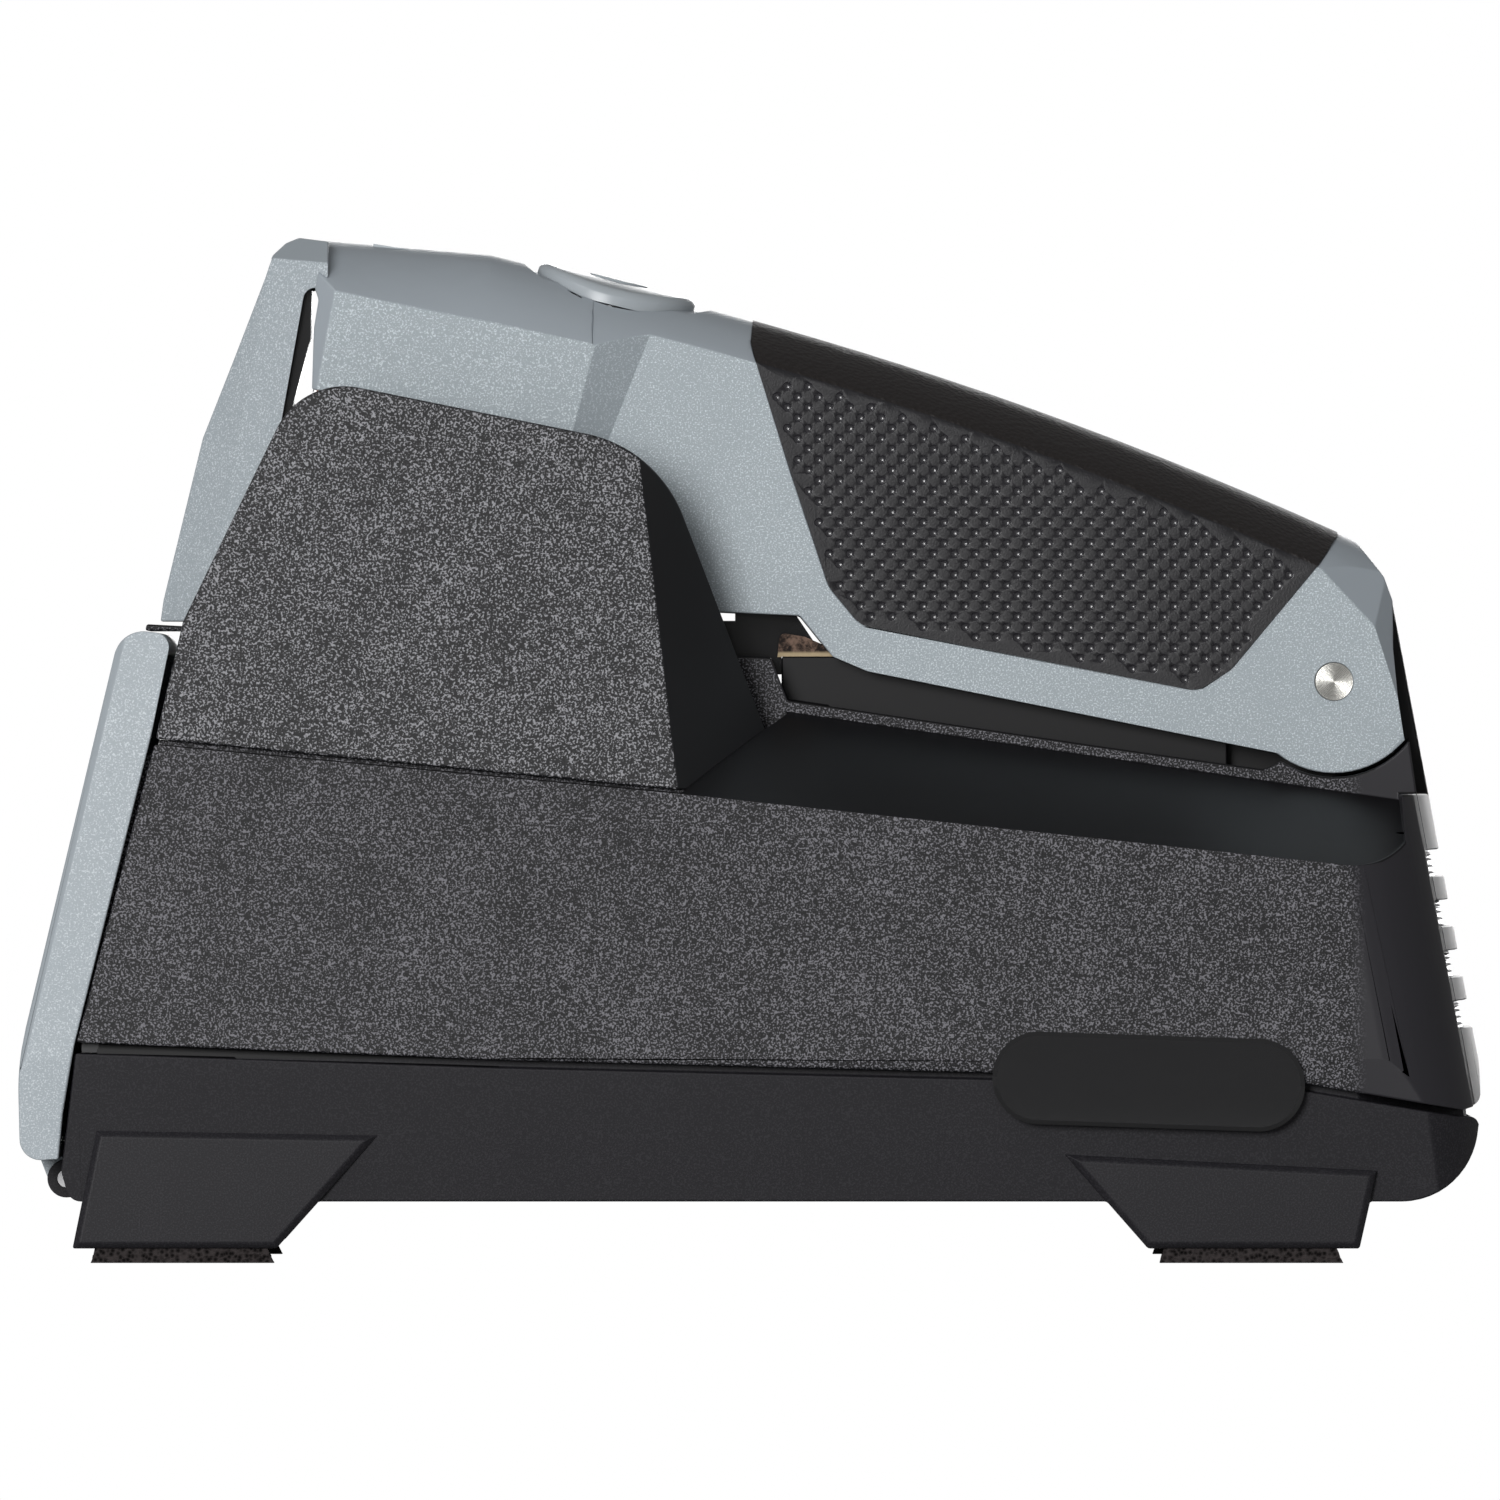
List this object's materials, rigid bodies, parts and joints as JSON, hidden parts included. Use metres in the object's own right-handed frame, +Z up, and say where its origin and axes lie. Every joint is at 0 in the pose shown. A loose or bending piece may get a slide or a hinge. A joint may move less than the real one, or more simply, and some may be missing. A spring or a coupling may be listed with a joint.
{
  "type": "electric knife sharpener",
  "caption": "Belt knife sharpener with angled blade slots beside a hinged grip arm, a push button on top and a drop-down front door.",
  "frame": {"origin": "bottom centre of the sharpener, on the plane its pads stand on", "axes": "+X to the rear, where the arm is hinged; +Y to the user's left; +Z up"},
  "size_m": [0.244, 0.1176, 0.1712],
  "materials": {
    "tray_black": "fine moulded texture",
    "body_black": "spark-grained moulding",
    "cheek_black": "spark-grained moulding",
    "guide_black": "smooth moulding",
    "shell_grey": "fine satin grain",
    "nose_grey": "fine satin grain",
    "door_grey": "fine satin grain",
    "grip_rubber": "dimpled overmould",
    "button_grey": "bevelled satin",
    "lens": "translucent window",
    "pin_steel": "turned end",
    "pad_foam": "closed foam",
    "belt": "cloth-backed abrasive",
    "spare": "abrasive on cream cloth",
    "roller": "moulded tread",
    "idler": "turned",
    "steel": "plated",
    "screw": "blackened",
    "brass": "sintered bush",
    "mesh": "perforated sheet",
    "armature": "wound laminations",
    "fan": "moulded",
    "board": "printed board",
    "plate": "polished",
    "chassis": "moulded"
  },
  "bodies": {
    "base": {"lower_tray": "tray_black", "tray_screws": "screw", "foot_pads": "pad_foam", "base_housing": "body_black", "cheek_left": "cheek_black", "cheek_right": "cheek_black", "guide_front": "guide_black", "belt_tower": "guide_black", "abrasive_belt": "belt", "tension_spring": "steel", "motor_can": "steel", "shaft_bearings": "brass", "motor_cradle": "chassis", "filter_mesh": "mesh", "control_board": "board", "power_inlet": "chassis", "arm_pin": "pin_steel", "door_pin": "steel", "nameplate": "plate", "spare_belt": "spare"},
    "arm": {"arm_shell": "shell_grey", "grip_cover": "grip_rubber", "indicator_lens": "lens", "guide_nose": "nose_grey", "nose_liner": "guide_black", "button_spring": "steel"},
    "power_button": {"power_button": "button_grey"},
    "carrier": {"tension_carrier": "chassis", "idler_axle": "steel"},
    "idler": {"idler_roller": "idler"},
    "drive": {"drive_roller": "roller", "motor_shaft": "steel", "motor_armature": "armature", "cooling_fan": "fan"},
    "door": {"front_door": "door_grey"}
  },
  "joints": [
    {"name": "arm_hinge", "type": "hinge", "parent": "base", "child": "arm", "pos_m": [0.09775, 0, 0.0968], "axis": [0, 1, 0], "range_deg": [0, 50]},
    {"name": "button_press", "type": "slide", "parent": "arm", "child": "power_button", "axis": [-0.2402, 0, -0.9707], "range_m": [0, 0.0016], "stiffness_N_per_m": 1200, "springref_m": -0.001, "deforming": ["button_spring"]},
    {"name": "door_hinge", "type": "hinge", "parent": "base", "child": "door", "pos_m": [-0.1142, 0, 0.01375], "axis": [0, -1, 0], "range_deg": [0, 75]},
    {"name": "belt_tension", "type": "slide", "parent": "base", "child": "carrier", "axis": [0.2013, 0, 0.9795], "range_m": [-0.006, 0], "stiffness_N_per_m": 1500, "springref_m": 0.002, "deforming": ["tension_spring"]},
    {"name": "idler_spin", "type": "hinge", "parent": "carrier", "child": "idler", "pos_m": [-0.0665, 0, 0.1435], "axis": [0.9795, 0, -0.2013], "continuous": true},
    {"name": "drive_spin", "type": "hinge", "parent": "base", "child": "drive", "pos_m": [-0.0868, 0, 0.0447], "axis": [0.9795, 0, -0.2013], "continuous": true}
  ],
  "couplings": [
    {"joint": "idler_spin", "follows": "drive_spin", "ratio": 1}
  ]
}
